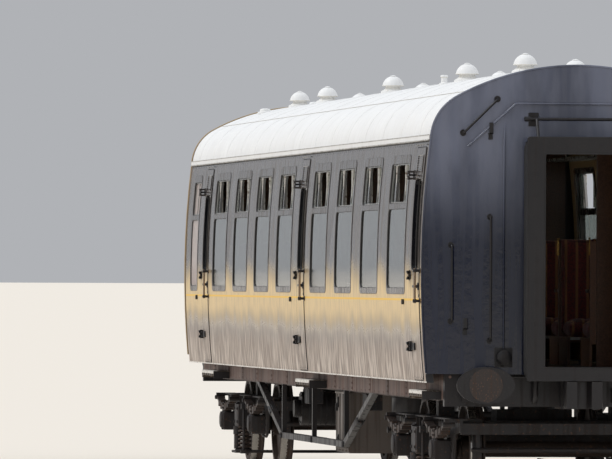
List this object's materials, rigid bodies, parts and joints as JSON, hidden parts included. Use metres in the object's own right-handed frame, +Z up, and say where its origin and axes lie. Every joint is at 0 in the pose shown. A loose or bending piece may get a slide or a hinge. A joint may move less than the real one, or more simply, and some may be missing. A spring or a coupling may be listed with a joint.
{
  "type": "railway passenger coach",
  "caption": "Long gangwayed open saloon railway coach with slam doors, bowed ends, white roof and two four-wheel bogies.",
  "frame": {"origin": "middle of the coach, on the level of the wheel flanges' lowest points", "axes": "+X along the coach towards the end without lavatories, +Z up, -Y the side seen in the picture"},
  "size_m": [20.47, 2.87, 4.0463],
  "materials": {
    "body_paint": "gloss, dusty",
    "end_paint": "gloss black",
    "roof_paint": "satin white",
    "floor_cover": "linoleum",
    "glass": "clear",
    "frosted_glass": "frosted",
    "aluminium": "satin",
    "black_iron": "painted black, dusty",
    "rubber": "matt",
    "interior_wood": "varnished veneer",
    "seat_frame": "satin",
    "moquette": "woven",
    "table_top": "laminate",
    "underframe_dirt": "matt, brake dust",
    "battery_box": "matt, dusty",
    "step_wood": "worn",
    "gangway_rubber": "matt",
    "bogie_iron": "painted black, dusty",
    "spring_steel": "dusty",
    "wheel_steel": "worn tread, dirty disc"
  },
  "bodies": {
    "coach_body": {"side_left": "body_paint", "side_right": "body_paint", "body_ends": "end_paint", "roof": "roof_paint", "floor": "floor_cover", "window_frames": "body_paint", "window_panes": "glass", "toplight_frames": "aluminium", "lavatory_panes": "frosted_glass", "door_hinges": "black_iron", "grab_handles": "black_iron", "door_stops": "rubber", "cross_walls": "interior_wood", "seat_frames": "seat_frame", "seat_cushions": "moquette", "tables": "table_top", "luggage_racks": "aluminium", "roof_vents": "roof_paint", "solebars": "underframe_dirt", "headstocks": "black_iron", "floor_bearers": "underframe_dirt", "body_bolsters": "underframe_dirt", "trusses": "black_iron", "battery_boxes": "battery_box", "vacuum_cylinders": "black_iron", "dynamo": "black_iron", "brake_shaft": "black_iron", "step_boards": "step_wood", "gangway_bellows": "gangway_rubber", "gangway_plates": "black_iron", "buffers": "black_iron", "couplers": "black_iron"},
    "bogie_front": {"bogie_frame_front": "bogie_iron", "bolster_front": "bogie_iron", "spring_plank_front": "bogie_iron", "springs_front": "spring_steel", "axleboxes_front": "bogie_iron", "brake_gear_front": "bogie_iron"},
    "wheelset_front_outer": {"wheelset_front_outer": "wheel_steel"},
    "wheelset_front_inner": {"wheelset_front_inner": "wheel_steel"},
    "bogie_rear": {"bogie_frame_rear": "bogie_iron", "bolster_rear": "bogie_iron", "spring_plank_rear": "bogie_iron", "springs_rear": "spring_steel", "axleboxes_rear": "bogie_iron", "brake_gear_rear": "bogie_iron"},
    "wheelset_rear_outer": {"wheelset_rear_outer": "wheel_steel"},
    "wheelset_rear_inner": {"wheelset_rear_inner": "wheel_steel"},
    "door_front_left": {"door_front_left": "body_paint", "door_pane_front_left": "glass"},
    "door_middle_left": {"door_middle_left": "body_paint", "door_pane_middle_left": "glass"},
    "door_rear_left": {"door_rear_left": "body_paint", "door_pane_rear_left": "glass"},
    "door_front_right": {"door_front_right": "body_paint", "door_pane_front_right": "glass"},
    "door_middle_right": {"door_middle_right": "body_paint", "door_pane_middle_right": "glass"},
    "door_rear_right": {"door_rear_right": "body_paint", "door_pane_rear_right": "glass"}
  },
  "joints": [
    {"name": "bogie_front_swivel", "type": "hinge", "parent": "coach_body", "child": "bogie_front", "pos_m": [7.087, 0, 0.8785], "axis": [0, 0, 1], "range_deg": [-4.5, 4.5]},
    {"name": "wheelset_front_outer_spin", "type": "hinge", "parent": "bogie_front", "child": "wheelset_front_outer", "pos_m": [8.382, 0, 0.4855], "axis": [0, 1, 0], "continuous": true},
    {"name": "wheelset_front_inner_spin", "type": "hinge", "parent": "bogie_front", "child": "wheelset_front_inner", "pos_m": [5.792, 0, 0.4855], "axis": [0, 1, 0], "continuous": true},
    {"name": "bogie_rear_swivel", "type": "hinge", "parent": "coach_body", "child": "bogie_rear", "pos_m": [-7.087, 0, 0.8785], "axis": [0, 0, 1], "range_deg": [-4.5, 4.5]},
    {"name": "wheelset_rear_outer_spin", "type": "hinge", "parent": "bogie_rear", "child": "wheelset_rear_outer", "pos_m": [-8.382, 0, 0.4855], "axis": [0, 1, 0], "continuous": true},
    {"name": "wheelset_rear_inner_spin", "type": "hinge", "parent": "bogie_rear", "child": "wheelset_rear_inner", "pos_m": [-5.792, 0, 0.4855], "axis": [0, 1, 0], "continuous": true},
    {"name": "door_front_left_hinge", "type": "hinge", "parent": "coach_body", "child": "door_front_left", "pos_m": [8.848, -1.393, 2.0285], "axis": [0, 0, -1], "range_deg": [0, 165]},
    {"name": "door_middle_left_hinge", "type": "hinge", "parent": "coach_body", "child": "door_middle_left", "pos_m": [0.438, -1.393, 2.0285], "axis": [0, 0, -1], "range_deg": [0, 165]},
    {"name": "door_rear_left_hinge", "type": "hinge", "parent": "coach_body", "child": "door_rear_left", "pos_m": [-8.012, -1.393, 2.0285], "axis": [0, 0, -1], "range_deg": [0, 165]},
    {"name": "door_front_right_hinge", "type": "hinge", "parent": "coach_body", "child": "door_front_right", "pos_m": [9.472, 1.393, 2.0285], "axis": [0, 0, -1], "range_deg": [0, 165]},
    {"name": "door_middle_right_hinge", "type": "hinge", "parent": "coach_body", "child": "door_middle_right", "pos_m": [1.062, 1.393, 2.0285], "axis": [0, 0, -1], "range_deg": [0, 165]},
    {"name": "door_rear_right_hinge", "type": "hinge", "parent": "coach_body", "child": "door_rear_right", "pos_m": [-7.388, 1.393, 2.0285], "axis": [0, 0, -1], "range_deg": [0, 165]}
  ]
}
